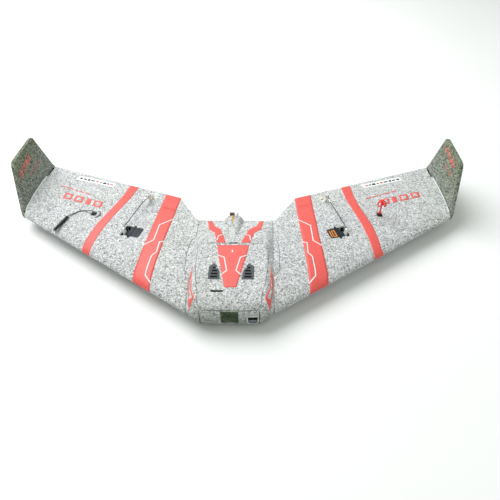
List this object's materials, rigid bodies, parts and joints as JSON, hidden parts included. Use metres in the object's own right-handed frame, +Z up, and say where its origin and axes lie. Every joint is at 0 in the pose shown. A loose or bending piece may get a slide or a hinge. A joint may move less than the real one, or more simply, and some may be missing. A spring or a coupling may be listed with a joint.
{
  "type": "rc flying wing",
  "caption": "Foam flying wing model with a lift-off hatch, servo-driven elevons, canted winglets, a rear pusher motor and small wing-top aerials.",
  "frame": {"origin": "on the ground under the middle of the aircraft's bounding box", "axes": "+X to the aircraft's left wing tip, +Y to the rear, +Z up; the nose points to -Y"},
  "size_m": [0.8202, 0.3934, 0.108],
  "materials": {
    "foam_body": "moulded bead foam, matt",
    "vent_plastic": "moulded, matt",
    "magnet_metal": "nickel plated",
    "carbon_tube": "pultruded carbon, satin",
    "plywood": "laser-cut birch ply",
    "motor_dark": "anodised, satin",
    "motor_bell_metal": "anodised, satin",
    "steel_parts": "bright",
    "circuit_board": "solder mask",
    "receiver_case": "moulded",
    "heat_sink": "extruded",
    "camera_body": "moulded",
    "lens_glass": "coated",
    "battery_wrap": "shrink wrap",
    "strap_fabric": "woven hook-and-loop strap",
    "plug_plastic": "moulded nylon",
    "servo_case": "moulded",
    "white_plastic": "moulded nylon",
    "rod_wire": "blackened wire",
    "aerial_plastic": "moulded, satin",
    "aerial_red": "moulded, satin"
  },
  "bodies": {
    "airframe": {"fuselage_shell": "foam_body", "bay_magnets": "magnet_metal", "wing_left": "foam_body", "wing_right": "foam_body", "winglet_left": "foam_body", "winglet_right": "foam_body", "joiner_front": "carbon_tube", "joiner_rear": "carbon_tube", "spar_left": "carbon_tube", "spar_right": "carbon_tube", "firewall": "plywood", "motor_spine": "plywood", "motor_base": "motor_dark", "motor_screws": "steel_parts", "speed_controller": "circuit_board", "flight_controller": "circuit_board", "receiver": "receiver_case", "video_transmitter": "heat_sink", "nose_camera": "camera_body", "camera_lens": "lens_glass", "battery": "battery_wrap", "battery_strap": "strap_fabric", "battery_plug": "plug_plastic", "servo_left": "servo_case", "servo_right": "servo_case", "aerial_socket_right": "aerial_plastic", "aerial_lead": "aerial_plastic", "aerial_stick": "aerial_plastic", "aerial_socket_left": "aerial_plastic", "aerial_stem": "aerial_red", "aerial_lobes": "aerial_red"},
    "hatch": {"hatch": "foam_body", "vent_left": "vent_plastic", "vent_right": "vent_plastic", "hatch_magnets": "magnet_metal"},
    "elevon_left": {"elevon_left": "foam_body", "horn_left": "white_plastic", "horn_plate_left": "white_plastic", "horn_screws_left": "steel_parts"},
    "elevon_right": {"elevon_right": "foam_body", "horn_right": "white_plastic", "horn_plate_right": "white_plastic", "horn_screws_right": "steel_parts"},
    "servo_arm_left": {"servo_arm_left": "white_plastic", "arm_screw_left": "steel_parts"},
    "servo_arm_right": {"servo_arm_right": "white_plastic", "arm_screw_right": "steel_parts"},
    "pushrod_left": {"pushrod_left": "rod_wire", "rod_link_left": "steel_parts"},
    "pushrod_right": {"pushrod_right": "rod_wire", "rod_link_right": "steel_parts"},
    "rotor": {"motor_bell": "motor_bell_metal", "motor_shaft": "steel_parts"}
  },
  "joints": [
    {"name": "hatch_lift", "type": "slide", "parent": "airframe", "child": "hatch", "axis": [0, 0, 1], "range_m": [0, 0.06]},
    {"name": "elevon_left_hinge", "type": "hinge", "parent": "airframe", "child": "elevon_left", "pos_m": [0.16748, 0.07111, 0.0333], "axis": [0.9354, 0.3536, 0], "range_deg": [-22, 22]},
    {"name": "elevon_right_hinge", "type": "hinge", "parent": "airframe", "child": "elevon_right", "pos_m": [-0.16748, 0.07111, 0.0333], "axis": [0.9354, -0.3536, 0], "range_deg": [-22, 22]},
    {"name": "servo_arm_left_turn", "type": "hinge", "parent": "airframe", "child": "servo_arm_left", "pos_m": [0.1905, -0.0215, 0.0333], "axis": [0.9613, 0.2756, 0], "range_deg": [-30, 30]},
    {"name": "servo_arm_right_turn", "type": "hinge", "parent": "airframe", "child": "servo_arm_right", "pos_m": [-0.1905, -0.0215, 0.0333], "axis": [0.9613, -0.2756, 0], "range_deg": [-30, 30]},
    {"name": "pushrod_left_pin", "type": "hinge", "parent": "servo_arm_left", "child": "pushrod_left", "pos_m": [0.1905, -0.0215, 0.0473], "axis": [0.9613, 0.2756, 0], "range_deg": [-30, 30]},
    {"name": "pushrod_right_pin", "type": "hinge", "parent": "servo_arm_right", "child": "pushrod_right", "pos_m": [-0.1905, -0.0215, 0.0473], "axis": [0.9613, -0.2756, 0], "range_deg": [-30, 30]},
    {"name": "motor_spin", "type": "hinge", "parent": "airframe", "child": "rotor", "pos_m": [0, 0.03, 0.0205], "axis": [0, 1, 0], "continuous": true}
  ],
  "couplings": [
    {"joint": "servo_arm_left_turn", "follows": "elevon_left_hinge", "ratio": 1},
    {"joint": "servo_arm_right_turn", "follows": "elevon_right_hinge", "ratio": 1},
    {"joint": "pushrod_left_pin", "follows": "elevon_left_hinge", "ratio": -1},
    {"joint": "pushrod_right_pin", "follows": "elevon_right_hinge", "ratio": -1}
  ]
}
